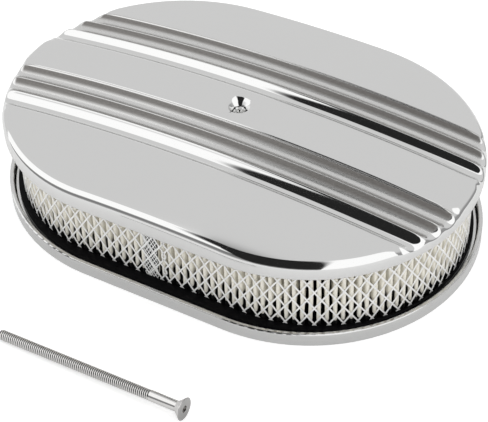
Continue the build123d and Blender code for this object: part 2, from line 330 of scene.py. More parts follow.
def filter_paper(name, rgb, seam_x, seam_half, half_width, base):
    """Creamy filter paper with fine fibres. It is dark where sealed between the feet of the folds,
    and has painted shade higher up between the folds and behind the seam strip."""
    material, tree = new_material(name)
    fibres = tree.noise(tree.object_place(PAPER_FIBRES), 1.0, detail=5.0, roughness=0.7)
    blotch = tree.noise(tree.object_place(), PAPER_BLOTCHES, detail=2.0)
    x, y, z = tree.split(tree.object_place())
    # Painted shade behind the seam strip
    seam = (abs(x - seam_x) < seam_half) * (y < 0.0)
    inwards = half_width - reach_from_line(x, y, ELEMENT_STRAIGHT)
    foot = base + SEALANT_FOOT + inwards * SEALANT_SLOPE
    feet = 1 - (z - foot).step(0.0, SEALANT_EDGE)
    # Painted shade between the folds, climbing in blotches
    climb = base + SHADE_CLIMB + blotch * SHADE_SPREAD
    between = inwards.step(*SHADE_DEPTH) * (1 - (z - climb).step(0.0, SHADE_FADE))
    sealant_and_shade = feet.at_least(between)
    cream = tree.mix(fibres * 0.5 + blotch * 0.5, dimmed(rgb, 0.95), colour(rgb))
    surface = tree.add(
        "ShaderNodeBsdfPrincipled", {},
        # Near black over the sealed feet and the painted shade
        Base_Color=tree.mix(seam.at_least(sealant_and_shade), cream, colour(SEALANT_AND_SHADE_COLOUR)),
        Roughness=0.85,
        Normal=tree.bump(fibres, 0.06 * MM, strength=0.5),
    )
    tree.finish(surface)
    return material


def coated_wire(name, rgb, roughness):
    """White coating on expanded metal, a little uneven."""
    material, tree = new_material(name)
    runs = tree.noise(tree.object_place(), COATING_RUNS, detail=2.0)
    surface = tree.add(
        "ShaderNodeBsdfPrincipled", {},
        Base_Color=tree.mix(runs, dimmed(rgb, 0.93), colour(rgb)),
        Roughness=roughness,
        Normal=tree.bump(runs, 0.05 * MM, strength=0.4),
    )
    tree.finish(surface)
    return material


def plated_steel(name, rgb, roughness, axis, thread):
    """Bright plated steel for the bolt, with turning marks, painted shade in the roots of the
    thread and a darker head face.
    """
    material, tree = new_material(name)
    marks = tree.noise(tree.object_place(TURNING_MARKS), 1.0, detail=3.0)
    start, direction = axis
    root_radius, crest_radius, thread_end = thread
    x, y, z = tree.split(tree.object_place())
    x, y, z = x - start.x, y - start.y, z - start.z
    along = x * direction.x + y * direction.y + z * direction.z
    away = (x * x + y * y + z * z - along * along).at_least(0.0).maths("SQRT")
    # Painted shade in the roots of the thread
    root_shade = (1 - away.step(root_radius, crest_radius)) * along.step(thread_end, thread_end + MM)
    # The head's face is darkened as well
    face = 1 - along.step(*FACE_DEPTH)
    surface = tree.add(
        "ShaderNodeBsdfPrincipled", {},
        Base_Color=tree.mix(
            root_shade.at_least(face * FACE_DARKENING),
            tree.mix(marks, dimmed(rgb, 0.9), colour(rgb)),
            dimmed(rgb, SHADE_SHARE),
        ),
        Metallic=1.0,
        Roughness=roughness + marks * 0.06,
        Normal=tree.bump(marks, 0.02 * MM, strength=0.3),
    )
    tree.finish(surface)
    return material


# Meshes

def dress(node_name, material):
    """Give a CAD node its material in every slot."""
    node = nodes[node_name]
    if not node.data.materials:
        node.data.materials.append(material)
    for slot in node.material_slots:
        slot.material = material


def add_piece(name, bm, material, node_name, smooth=True):
    """Make an object from a bmesh; it rides on the body and stands for the CAD node."""
    mesh = bpy.data.meshes.new(name)
    bmesh.ops.recalc_face_normals(bm, faces=bm.faces)
    for face in bm.faces:
        face.smooth = smooth
    bm.to_mesh(mesh)
    bm.free()
    piece = bpy.data.objects.new(name, mesh)
    bpy.context.scene.collection.objects.link(piece)
    mesh.materials.append(material)
    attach(piece, BODY)
    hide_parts(node_name)
    return piece


def oval_length(half_width):
    return 2 * (ELEMENT_STRAIGHT + math.pi * half_width)


def on_oval(distance, half_width):
    """Point and outward direction on the oval, from the middle of its front side."""
    side = ELEMENT_STRAIGHT / 2
    arc = math.pi * half_width
    distance = distance % oval_length(half_width)
    if distance < side:
        return Vector((distance, -half_width)), Vector((0, -1))
    if distance < side + arc:
        angle = (distance - side) / half_width - math.pi / 2
        out = Vector((math.cos(angle), math.sin(angle)))
        return Vector((side, 0)) + out * half_width, out
    if distance < side + arc + ELEMENT_STRAIGHT:
        return Vector((ELEMENT_STRAIGHT + arc - distance, half_width)), Vector((0, 1))
    if distance < side + 2 * arc + ELEMENT_STRAIGHT:
        angle = (distance - side - arc - ELEMENT_STRAIGHT) / half_width + math.pi / 2
        out = Vector((math.cos(angle), math.sin(angle)))
        return Vector((-side, 0)) + out * half_width, out
    return Vector((distance - oval_length(half_width), -half_width)), Vector((0, -1))


def wrap(bm, half_width):
    """Bend a flat sheet round the oval: X runs along it, Y stands out of it, Z stays up."""
    for vertex in bm.verts:
        point, out = on_oval(vertex.co.x, half_width)
        point += out * vertex.co.y
        vertex.co = (point.x, point.y, vertex.co.z)


def even(start, end, count):
    """Places from start to end, both included, in count equal steps."""
    return [start + (end - start) * number / count for number in range(count + 1)]


def both_ways(places):
    """The same places on both sides of zero, which comes first."""
    return [-place for place in reversed(places[1:])] + places


def reach_of(x, y):
    """Distance from the line that the cover's round ends are struck from."""
    return math.hypot(max(abs(x) - STRAIGHT / 2, 0.0), y)


def trim(bm, place, direction):
    """Cut away what lies past a plane."""
    bmesh.ops.bisect_plane(
        bm, geom=bm.verts[:] + bm.edges[:] + bm.faces[:], dist=FLAT,
        plane_co=place, plane_no=direction, clear_outer=True,
    )


def take_in(bm, part):
    """Add a second bmesh to the first, and free it."""
    copy = bpy.data.meshes.new("part")
    part.to_mesh(copy)
    part.free()
    bm.from_mesh(copy)
    bpy.data.meshes.remove(copy)


def carry(bm, outline, reach, height):
    """Extrude an outline to another oval, with the height that a function gives."""
    made = bmesh.ops.extrude_edge_only(bm, edges=outline)["geom"]
    for item in made:
        if isinstance(item, bmesh.types.BMVert):
            middle = min(max(item.co.x, -STRAIGHT / 2), STRAIGHT / 2)
            out = Vector((item.co.x - middle, item.co.y)).normalized()
            x = middle + out.x * reach
            y = out.y * reach
            item.co = (x, y, height(x, y))
    return [item for item in made if isinstance(item, bmesh.types.BMEdge)]


def expanded_sheet(start, end, low, high, cell_width, cell_height, strand):
    """A flat sheet of diamond gaps between two distances and two heights."""
    columns = math.ceil((end - start) / cell_width) + 2
    rows = math.ceil((high - low) / cell_height) + 2
    bm = bmesh.new()
    bmesh.ops.create_grid(bm, x_segments=columns, y_segments=rows, size=0.5)
    width = columns * cell_width
    height = rows * cell_height
    lie = Matrix.Diagonal((width, height, 1, 1))
    stand = Matrix.Rotation(math.pi / 2, 4, "X")
    shift = Matrix.Translation((
        start - cell_width + width / 2, 0, low - cell_height * SHEET_PHASE + height / 2
    ))
    bmesh.ops.transform(bm, matrix=shift @ stand @ lie, verts=bm.verts)
    grid_edges = list(bm.edges)
    bmesh.ops.poke(bm, faces=bm.faces)
    inside = [edge for edge in grid_edges if edge.is_valid and not edge.is_boundary]
    bmesh.ops.dissolve_edges(bm, edges=inside, use_verts=False)
    gaps = list(bm.faces)
    bmesh.ops.inset_individual(bm, faces=gaps, thickness=strand / 2, use_even_offset=True)
    bmesh.ops.delete(bm, geom=gaps, context="FACES_ONLY")
    trim(bm, (start, 0, 0), (-1, 0, 0))
    trim(bm, (end, 0, 0), (1, 0, 0))
    trim(bm, (0, 0, low), (0, 0, -1))
    trim(bm, (0, 0, high), (0, 0, 1))
    loose = [vertex for vertex in bm.verts if not vertex.link_faces]
    bmesh.ops.delete(bm, geom=loose, context="VERTS")
    return bm


def soften_edges(piece, width):
    bevel = piece.modifiers.new("soft edges", "BEVEL")
    bevel.width = width
    bevel.segments = 2
    bevel.limit_method = "ANGLE"
    bevel.angle_limit = math.radians(40)


# Sizes and colours that a user would change

def length(name, description, millimetres):
    return FloatProperty(
        name=name, description=description, default=millimetres * MM, min=0.01 * MM,
        unit="LENGTH", precision=5,
    )


def shade(name, description, rgb):
    return FloatVectorProperty(
        name=name, description=description, default=rgb, size=3, min=0, max=1, subtype="COLOR"
    )


def amount(name, description, default):
    return FloatProperty(name=name, description=description, default=default, min=0.0, max=1.0)


class CoverSettings(bpy.types.PropertyGroup):
    """Cover"""

    metal_colour: shade("Cover", "Colour of the polished cover", (0.80, 0.80, 0.795))
    # Painted shade: the dark grey on the walls of the satin flutes
    painted_flute_shade: shade("Flutes", "Colour of the raw walls of the flutes", (0.20, 0.19, 0.18))
    mirror: amount("Roughness", "How blurred the cover's reflections are", 0.04)
    satin: amount("Flute Roughness", "How blurred the satin flutes' reflections are", 0.25)
    height: length("Height", "From the skirt's lower edge to the middle of the crown", 21.0)
    crown_along: length("Crown Along", "Fall of the crown to the middle of an end", 10.6)
    crown_across: length("Crown Across", "Fall of the crown to the middle of a side", 8.5)
    centre_land: length("Centre Land", "Width between the two groups of flutes", 32.0)
    flute_pitch: length("Flute Pitch", "Distance from one flute to the next", 12.7)
    flute_depth: length("Flute Depth", "Depth of a flute", 3.5)
    flute_count: IntProperty(name="Flutes", description="Flutes in each group", default=3, min=1)
    land_round: length("Land Rounding", "Radius where a land meets a flute", 5.0)
    ridge_round: length("Ridge Rounding", "Radius on the ridge between two flutes", 0.7)
    edge_round: length("Edge Rounding", "Radius where the top meets the wall", 4.0)
    nose_length: length("Nose Length", "How far from the ends the ridges start to fall", 16.0)
    nose_fall: length("Nose Fall", "How far the ridges fall towards the ends", 3.2)
    nose_margin: length("Nose Margin", "How far past the outer flutes the land falls too", 7.0)
    wall: length("Skirt Wall", "Thickness of the skirt", 3.2)
    hole: length("Countersink", "Radius of the countersink at the top", 7.4)


class TraySettings(bpy.types.PropertyGroup):
    """Base tray"""

    metal_colour: shade("Tray", "Colour of the base tray", (0.72, 0.72, 0.715))
    satin: amount("Roughness", "How blurred the tray's reflections are", 0.16)
    edge_softness: length("Edge Softness", "Radius at which sharp edges are rounded", 0.5)


class ElementSettings(bpy.types.PropertyGroup):
    """Filter element"""

    paper_colour: shade("Paper", "Colour of the folded paper", (0.97, 0.94, 0.85))
    wire_colour: shade("Mesh", "Colour of the coated mesh", (0.98, 0.98, 0.97))
    fine_colour: shade("Seam Strip", "Colour of the seam strip", (0.90, 0.90, 0.89))
    seal_colour: shade("Seals", "Colour of the moulded seals", (0.0025, 0.0025, 0.003))
    gasket_colour: shade("Gasket", "Colour of the neck gasket", (0.03, 0.03, 0.03))
    wire_blur: amount("Mesh Roughness", "How blurred the mesh's reflections are", 0.35)
    fine_blur: amount("Seam Roughness", "How blurred the seam strip's reflections are", 0.3)
    seal_blur: amount("Seal Roughness", "How blurred the seals' reflections are", 0.25)
    gasket_blur: amount("Gasket Roughness", "How blurred the gasket's reflections are", 0.5)
    pleat_count: IntProperty(
        name="Pleats", description="Folds round the element", default=168, min=24
    )
    pleat_depth: length("Pleat Depth", "Depth of the folds", 18.0)
    crest_share: amount("Crest Share", "Share of each fold that its crest takes", 0.54)
    paper_thickness: length("Paper Thickness", "Thickness of the paper", 0.4)
    paper_waviness: length("Paper Waviness", "How far the folds wander", 0.22)
    cell_width: length("Cell Width", "Width of a diamond gap with its strand", 8.4)
    cell_height: length("Cell Height", "Height of a diamond gap with its strand", 12.6)
    strand: length("Strand", "Width of a strand", 1.0)
    wire_thickness: length("Mesh Thickness", "Thickness of the mesh", 0.5)
    fine_cell_width: length("Fine Cell Width", "Width of a gap in the seam strip", 2.3)
    fine_cell_height: length("Fine Cell Height", "Height of a gap in the seam strip", 3.8)
    fine_strand: length("Fine Strand", "Width of a strand in the seam strip", 0.55)


class BoltSettings(bpy.types.PropertyGroup):
    """Centre bolt"""

    steel_colour: shade("Steel", "Colour of the plated steel", (0.78, 0.77, 0.76))
    blur: amount("Roughness", "How blurred the bolt's reflections are", 0.05)
    bolt_length: length("Length", "Length with the head", 123.8)
    head_radius: length("Head Radius", "Radius of the flat head", 6.75)
    head_rim: length("Head Rim", "Thickness of the head's rim", 0.4)
    head_angle: FloatProperty(
        name="Head Angle", description="Angle of the head's cone", default=math.radians(82),
        subtype="ANGLE",
    )
    shank_radius: length("Shank Radius", "Radius of the plain shank", 3.175)
    crest_radius: length("Thread Radius", "Radius at the crests of the thread", 3.15)
    plain_shank: length("Plain Shank", "Length of the shank without thread", 17.5)
    pitch: length("Thread Pitch", "Distance from one thread to the next", 1.27)
    thread_depth: length("Thread Depth", "Depth of the thread", 0.62)
    tip_chamfer: length("Tip Chamfer", "Chamfer at the tip", 0.7)
    socket_flats: length("Socket", "Hex socket across flats", 4.0)
    socket_depth: length("Socket Depth", "Depth of the hex socket", 2.6)


class StudioSettings(bpy.types.PropertyGroup):
    """Studio and camera"""

    camera_turn: FloatProperty(
        name="Camera Turn", description="Direction of the camera round the part, from the front",
        default=math.radians(31.116), subtype="ANGLE",
    )
    camera_height: FloatProperty(
        name="Camera Height", description="Angle of the camera above the floor",
        default=math.radians(42.381), subtype="ANGLE",
    )
    camera_roll: FloatProperty(
        name="Camera Roll", description="Tilt of the picture", default=math.radians(-1.918),
        subtype="ANGLE",
    )
    camera_distance: length("Camera Distance", "From the point looked at", 939.03)
    camera_lens: FloatProperty(
        name="Lens", description="Focal length in millimetres on a 36 mm sensor",
        default=117.484, min=1,
    )
    look_at: FloatVectorProperty(
        name="Look At", description="Point in the middle of the picture",
        default=(0.028426, -0.045264, 0.035), size=3, subtype="TRANSLATION",
    )


# Operators

class AIRCLEANER_OT_cover(bpy.types.Operator):
    """Form the crowned, fluted cover over the hollow of its casting, and polish it"""

    bl_idname = "aircleaner.cover"
    bl_label = "Cover"

    def execute(self, context):
        settings = context.scene.aircleaner_cover
        self.settings = settings
        self.crown_radius_along = cover_high.x ** 2 / (2 * settings.crown_along)
        self.crown_radius_across = cover_high.y ** 2 / (2 * settings.crown_across)
        depth = settings.flute_depth
        self.flute_radius = (settings.flute_pitch ** 2 / 4 + depth ** 2) / (2 * depth)
        cover = self.top()
        self.rounded_edge(cover)
        self.add_hollow(cover)
        metal = polished_cover("polished cover", settings, cover_high.y)
        piece = add_piece("fluted_cover", cover, metal, "top_cover")
        piece.data.set_sharp_from_angle(angle=SHARP_ANGLE)
        return {"FINISHED"}

    def depth(self, y):
        """How far the flutes cut below the crown at y."""
        settings = self.settings
        pitch = settings.flute_pitch
        start = settings.centre_land / 2
        number = min(max(math.floor((abs(y) - start) / pitch), 0), settings.flute_count - 1)
        offset = abs(y) - start - (number + 0.5) * pitch
        next_to_land = (number == 0 and offset < 0) or (
            number == settings.flute_count - 1 and offset > 0
        )
        radius = self.flute_radius
        floor = radius - settings.flute_depth
        if next_to_land:
            rounding = settings.land_round
            middle = math.sqrt((radius + rounding) ** 2 - (floor + rounding) ** 2)
        else:
            rounding = settings.ridge_round
            middle = pitch / 2
        away = abs(offset)
        if away < middle * radius / (radius + rounding):
            return math.sqrt(radius ** 2 - away ** 2) - floor
        if away >= middle and next_to_land:
            return 0.0
        low = math.sqrt((radius + rounding) ** 2 - middle ** 2) - floor
        return low - math.sqrt(rounding ** 2 - (middle - away) ** 2)

    def nose(self, x, y):
        """How far the ridges and the lands' corners have fallen on their way to an end."""
        settings = self.settings
        before_end = cover_high.y - reach_of(x, y)
        if abs(x) < STRAIGHT / 2 or before_end >= settings.nose_length:
            return 0.0
        start = settings.centre_land / 2
        end = start + settings.flute_pitch * settings.flute_count
        beyond = max(start - abs(y), abs(y) - end, 0.0) / settings.nose_margin
        share = 1 - max(before_end, 0.0) / settings.nose_length
        fade = max(1 - beyond, 0.0)
        fade = fade * fade * (3 - 2 * fade)
        return settings.nose_fall * fade * (1 - math.sqrt(max(1 - share ** 2, 0.0)))

    def cut(self, x, y):
        """How far the top lies below its crown, with the flutes and the noses blended."""
        blend = 6
        return (self.depth(y) ** blend + self.nose(x, y) ** blend) ** (1 / blend)

    def surface(self, x, y):
        """Height of the crowned and fluted top."""
        across = self.crown_radius_across
        along = self.crown_radius_along
        section = along - across + math.sqrt(across ** 2 - y ** 2) - self.cut(x, y)
        top = cover_low.z + self.settings.height
        return top - along + math.sqrt(section ** 2 - x ** 2)

    def beside_hole(self):
        """Places from the middle to a little past the hole."""
        return even(0, 1.5 * self.settings.hole, 6)

    def rows(self, inner):
        """Places across the cover from its middle line, close together over the flutes."""
        settings = self.settings
        rows_per_flute = 36
        margin_rows = 10
        round_rows = 20
        fine = settings.flute_pitch / rows_per_flute
        start = settings.centre_land / 2
        count = rows_per_flute * settings.flute_count + 2 * margin_rows
        places = self.beside_hole()
        places += [start + fine * (number - margin_rows) for number in range(count + 1)]
        turn = math.asin(places[-1] / inner)
        steps = even(turn, math.pi / 2, round_rows)[1:]
        return places + [inner * math.sin(step) for step in steps]

    def columns(self, inner):
        """Places along the cover from its middle, close together near the hole and the end."""
        columns_per_part = 18
        end = STRAIGHT / 2 + inner
        near_end = end - 5 * self.settings.edge_round
        places = self.beside_hole()
        places += even(places[-1], near_end, columns_per_part)[1:]
        return places + even(near_end, end, columns_per_part)[1:]

    def top(self):
        """The top within the rounded edge, as one grid with a square left out for the hole."""
        inner = cover_high.y - self.settings.edge_round
        rows = both_ways(self.rows(inner))
        columns = both_ways(self.columns(inner))
        bm = bmesh.new()
        bmesh.ops.create_grid(
            bm, x_segments=len(columns) - 1, y_segments=len(rows) - 1, size=0.5
        )
        for vertex in bm.verts:
            y = rows[round((vertex.co.y + 0.5) * (len(rows) - 1))]
            reach = STRAIGHT / 2 + math.sqrt(max(inner ** 2 - y ** 2, 0.0))
            x = columns[round((vertex.co.x + 0.5) * (len(columns) - 1))] / columns[-1] * reach
            vertex.co = (x, y, self.surface(x, y))
        slack = 0.05 * self.settings.hole
        square = self.beside_hole()[-1] - slack
        middle = [
            face for face in bm.faces
            if all(max(abs(vertex.co.x), abs(vertex.co.y)) < square for vertex in face.verts)
        ]
        bmesh.ops.delete(bm, geom=middle, context="FACES")
        return bm

    def rounded_edge(self, bm):
        """Carry the top's outline over the rounded edge and down the wall."""
        settings = self.settings
        radius = settings.edge_round
        deepest = settings.flute_depth
        spared = 0.6
        outline = [
            edge for edge in bm.edges
            if edge.is_boundary and edge.verts[0].co.xy.length > 2 * settings.hole
        ]
        steps = 12
        for step in range(1, steps + 1):
            angle = math.pi / 2 * step / steps
            reach = cover_high.y - radius + radius * math.sin(angle)
            fall = radius * (1 - math.cos(angle))
            outline = carry(
                bm, outline, reach,
                lambda x, y: self.surface(x, y) - fall * (1 - spared * self.cut(x, y) / deepest),
            )
        chamfer = 0.4 * MM
        bulge = 0.3 * chamfer
        low = cover_low.z
        for reach, height in (
            (cover_high.y, low + chamfer),
            (cover_high.y - bulge, low + bulge),
            (cover_high.y - chamfer, low),
        ):
            outline = carry(bm, outline, reach, lambda x, y: height)

    def add_hollow(self, bm):
        """Join the underside and bolt hole of the casting to the new top."""
        settings = self.settings
        inside = cover_high.y - settings.wall + 0.05 * MM
        facing_up = 0.02
        hollow = bmesh.new()
        hollow.from_mesh(nodes["top_cover"].data)
        bmesh.ops.remove_doubles(hollow, verts=hollow.verts, dist=MERGE)

        def is_outside(face):
            place = face.calc_center_median()
            if math.hypot(place.x, place.y) < settings.hole:
                return False
            from_line = max(reach_of(vertex.co.x, vertex.co.y) for vertex in face.verts)
            return face.normal.z > facing_up or from_line > inside

        outside = [face for face in hollow.faces if is_outside(face)]
        bmesh.ops.delete(hollow, geom=outside, context="FACES")
        take_in(bm, hollow)
        near = 2 * settings.hole
        for is_near in (True, False):
            open_edges = [
                edge for edge in bm.edges
                if edge.is_boundary and (edge.verts[0].co.xy.length < near) == is_near
            ]
            bmesh.ops.bridge_loops(bm, edges=open_edges)


class AIRCLEANER_OT_tray(bpy.types.Operator):
    """Polish the base tray"""

    bl_idname = "aircleaner.tray"
    bl_label = "Base Tray"

    def execute(self, context):
        settings = context.scene.aircleaner_tray
        dress("base_tray", polished_metal(
            "polished tray", settings.metal_colour, settings.satin,
            settings.edge_softness, TRAY_LINES,
        ))
        return {"FINISHED"}


class AIRCLEANER_OT_seals(bpy.types.Operator):
    """Finish the moulded seals and the neck gasket"""

    bl_idname = "aircleaner.seals"
    bl_label = "Seals and Gasket"

    def execute(self, context):
        settings = context.scene.aircleaner_element
        seal = moulded_rubber("seal rubber", settings.seal_colour, settings.seal_blur)
        dress("lower_seal", seal)
        dress("upper_seal", seal)
        dress("neck_gasket", moulded_rubber(
            "gasket rubber", settings.gasket_colour, settings.gasket_blur
        ))
        return {"FINISHED"}


class AIRCLEANER_OT_paper(bpy.types.Operator):
    """Fold the filter paper round the element"""

    bl_idname = "aircleaner.paper"
    bl_label = "Pleated Paper"

    def execute(self, context):
        settings = context.scene.aircleaner_element
        half_width = paper_high.y
        around = oval_length(half_width)
        pitch = around / settings.pleat_count
        thickness = settings.paper_thickness
        depth = settings.pleat_depth - thickness
        crest_radius = pitch * settings.crest_share / 2
        root_radius = pitch / 2 - crest_radius
        flank = depth - crest_radius - root_radius
        points_per_pleat = 16
        rows = 6
        sway = 0.25
        inset = settings.paper_waviness * 0.3
        sheet = bmesh.new()
        bmesh.ops.create_grid(
            sheet, x_segments=settings.pleat_count * points_per_pleat, y_segments=rows, size=0.5
        )
        half_fold = self.half_fold(crest_radius, root_radius, flank, points_per_pleat // 2)
        wander = random.Random(PAPER_SEED)
        leans = [
            [wander.uniform(-1, 1) * settings.paper_waviness for row in range(rows + 1)]
            for pleat in range(settings.pleat_count)
        ]
        height = paper_high.z - paper_low.z
        for vertex in sheet.verts:
            step = round((vertex.co.x + 0.5) * settings.pleat_count * points_per_pleat)
            row = round((vertex.co.y + 0.5) * rows)
            pleat, place = divmod(step, points_per_pleat)
            side = 1 if place <= points_per_pleat // 2 else -1
            along, out = half_fold[place if side > 0 else points_per_pleat - place]
            if side < 0:
                pleat += 1
            lean = leans[pleat % settings.pleat_count][row]
            weight = 1 + out / depth
            vertex.co = (
                pleat * pitch + side * along + lean * weight,
                out - thickness / 2 + sway * lean * weight - inset,
                paper_low.z + height * row / rows,
            )
        wrap(sheet, half_width)
        bmesh.ops.remove_doubles(sheet, verts=sheet.verts, dist=MERGE)
        bmesh.ops.solidify(sheet, geom=sheet.faces[:], thickness=thickness)
        seam_x = (strip_low.x + strip_high.x) / 2
        seam_half = (strip_high.x - strip_low.x) / 2
        paper = filter_paper(
            "filter paper", settings.paper_colour, seam_x, seam_half, half_width, paper_low.z
        )
        add_piece("folded_paper", sheet, paper, "paper_pleats")
        return {"FINISHED"}

    @staticmethod
    def half_fold(crest_radius, root_radius, flank, count):
        """Points from the middle of a crest to the middle of the next root."""
        crest_points = count // 2 + 1
        points = []
        for number in range(crest_points):
            angle = math.pi / 2 * number / (crest_points - 1)
            points.append((
                crest_radius * math.sin(angle), crest_radius * (math.cos(angle) - 1)
            ))
        root_points = count - crest_points
        middle = crest_radius + root_radius
        bottom = -(crest_radius + flank + root_radius)
        for number in range(root_points + 1):
            angle = math.pi / 2 * (1 - number / root_points)
            points.append((
                middle - root_radius * math.sin(angle),
                bottom + root_radius * (1 - math.cos(angle)),
            ))
        return points


class AIRCLEANER_OT_meshes(bpy.types.Operator):
    """Cut and wrap the expanded metal of the outer and inner mesh and the seam strip"""

    bl_idname = "aircleaner.meshes"
    bl_label = "Expanded Mesh"

    def execute(self, context):
        settings = context.scene.aircleaner_element
        wire = coated_wire("coated mesh", settings.wire_colour, settings.wire_blur)
        self.ring(settings, wire, "outer_diamonds", "outer_mesh", mesh_low, mesh_high)
        self.ring(settings, wire, "inner_diamonds", "inner_mesh", inner_low, inner_high)
        self.strip(settings)
        return {"FINISHED"}

    def ring(self, settings, wire, name, node_name, low, high):
        half_width = high.y
        around = oval_length(half_width)
        columns = round(around / settings.cell_width)
        sheet = expanded_sheet(
            0.0, around, low.z, high.z, around / columns, settings.cell_height, settings.strand
        )
        wrap(sheet, half_width - settings.wire_thickness)
        bmesh.ops.remove_doubles(sheet, verts=sheet.verts, dist=0.02 * MM)
        bmesh.ops.recalc_face_normals(sheet, faces=sheet.faces)
        bmesh.ops.solidify(sheet, geom=sheet.faces[:], thickness=settings.wire_thickness)
        piece = add_piece(name, sheet, wire, node_name, smooth=False)
        soften_edges(piece, settings.wire_thickness / 4)

    def strip(self, settings):
        sheet = expanded_sheet(
            strip_low.x, strip_high.x, strip_low.z, strip_high.z,
            settings.fine_cell_width, settings.fine_cell_height, settings.fine_strand,
        )
        thickness = strip_high.y - strip_low.y
        bmesh.ops.translate(sheet, verts=sheet.verts, vec=(0, strip_low.y + thickness / 2, 0))
        bmesh.ops.solidify(sheet, geom=sheet.faces[:], thickness=thickness / 2)
        wire = coated_wire("fine mesh", settings.fine_colour, settings.fine_blur)
        add_piece("fine_strip", sheet, wire, "seam_strip", smooth=False)


class AIRCLEANER_OT_bolt(bpy.types.Operator):
    """Turn the centre bolt with its thread and hex socket"""

    bl_idname = "aircleaner.bolt"
    bl_label = "Centre Bolt"

    def execute(self, context):
        settings = context.scene.aircleaner_bolt
        reach = settings.bolt_length - settings.tip_chamfer - settings.head_rim
        slope = math.atan((settings.head_radius - settings.shank_radius) / reach)
        cone_end = settings.head_rim + (
            (settings.head_radius - settings.shank_radius) / math.tan(settings.head_angle / 2)
        )
        thread_start = cone_end + settings.plain_shank
        bolt = self.thread(settings, thread_start)
        self.head(bolt, settings, cone_end, thread_start)
        face_x = bolt_high.x - settings.head_radius * math.sin(slope)
        face_z = settings.head_radius * math.cos(slope) + settings.head_rim * math.sin(slope)
        lie = Matrix.Translation((face_x, (bolt_low.y + bolt_high.y) / 2, face_z))
        lie = lie @ Matrix.Rotation(math.pi / 2 - slope, 4, "Y")
        bmesh.ops.transform(bolt, matrix=lie, verts=bolt.verts)
        axis = lie.translation, (lie.to_3x3() @ Vector((0, 0, -1))).normalized()
        root_radius = settings.crest_radius - settings.thread_depth
        # Where the painted shade in the thread's roots lies: between these radii, past the plain
        # shank
        thread = root_radius + 0.1 * MM, settings.crest_radius - 0.3 * MM, thread_start
        steel = plated_steel("plated steel", settings.steel_colour, settings.blur, axis, thread)
        piece = add_piece("socket_bolt", bolt, steel, "centre_bolt")
        piece.data.set_sharp_from_angle(angle=SHARP_ANGLE)
        return {"FINISHED"}

    @staticmethod
    def spun(profile, steps):
        """A shape turned about Z from radius and height points."""
        bm = bmesh.new()
        points = [bm.verts.new((radius, 0, height)) for radius, height in profile]
        edges = [bm.edges.new(pair) for pair in zip(points, points[1:])]
        bmesh.ops.spin(
            bm, geom=points + edges, cent=(0, 0, 0), axis=(0, 0, 1), dvec=(0, 0, 0),
            angle=2 * math.pi, steps=steps, use_merge=False, use_duplicate=False,
        )
        return bm

    @staticmethod
    def open_at_top(bm):
        """Open edges that lie in the head's face."""
        return [
            edge for edge in bm.edges
            if edge.is_boundary and all(abs(vertex.co.z) < FLAT for vertex in edge.verts)
        ]

    def thread(self, settings, start):
        """The threaded length, below the head, with the head's face at height 0."""
        steps = 24
        crest_start, crest_end = 0.44, 0.56
        crest = settings.crest_radius
        root = crest - settings.thread_depth
        end = settings.bolt_length
        turns = math.ceil((end - start) / settings.pitch) + 2
        profile = []
        for turn in range(turns):
            top = -start + settings.pitch * (1 - turn)
            profile.append((root, top))
            profile.append((crest, top - settings.pitch * crest_start))
            profile.append((crest, top - settings.pitch * crest_end))
        bm = self.spun(profile, steps)
        for vertex in bm.verts:
            turn = math.atan2(vertex.co.y, vertex.co.x) / (2 * math.pi) % 1.0
            vertex.co.z += turn * settings.pitch
        trim(bm, (0, 0, -start), (0, 0, 1))
        trim(bm, (0, 0, -end), (0, 0, -1))
        tip = end - settings.tip_chamfer
        for vertex in bm.verts:
            beyond = -vertex.co.z - tip
            if beyond > 0:
                allowed = crest - beyond
                radius = math.hypot(vertex.co.x, vertex.co.y)
                if radius > allowed:
                    vertex.co.x *= allowed / radius
                    vertex.co.y *= allowed / radius
        bmesh.ops.remove_doubles(bm, verts=bm.verts, dist=MERGE)
        bmesh.ops.holes_fill(bm, edges=bm.edges, sides=0)
        return bm

    def head(self, bolt, settings, cone_end, thread_start):
        """The head, its hex socket and the plain shank."""
        steps = 48
        rounding = 0.12 * MM
        flat = settings.head_radius - rounding
        around_socket = settings.socket_flats * 0.75
        profile = [
            (around_socket, 0),
            (flat, 0),
            (settings.head_radius, -rounding),
            (settings.head_radius, -settings.head_rim + rounding),
            (settings.head_radius - rounding, -settings.head_rim - rounding),
            (settings.shank_radius + rounding, -cone_end),
            (settings.shank_radius, -cone_end - 2 * rounding),
            (settings.shank_radius, -thread_start + rounding),
            (settings.shank_radius - settings.thread_depth, -thread_start - settings.thread_depth),
        ]
        head = self.spun(profile, steps)
        bmesh.ops.remove_doubles(head, verts=head.verts, dist=MERGE)
        hexagon = bmesh.ops.create_circle(
            head, cap_ends=False, radius=settings.socket_flats / math.sqrt(3), segments=6
        )["verts"]
        sides = list({edge for vertex in hexagon for edge in vertex.link_edges})
        bmesh.ops.subdivide_edges(head, edges=sides, cuts=steps // 6 - 1)
        hex_edges = [edge for edge in head.edges if not edge.link_faces]
        bmesh.ops.bridge_loops(head, edges=hex_edges + self.open_at_top(head))
        walls = bmesh.ops.extrude_edge_only(head, edges=self.open_at_top(head))["geom"]
        bottom = [item for item in walls if isinstance(item, bmesh.types.BMVert)]
        bmesh.ops.translate(head, verts=bottom, vec=(0, 0, -settings.socket_depth))
        bmesh.ops.holes_fill(head, edges=head.edges, sides=0)
        take_in(bolt, head)


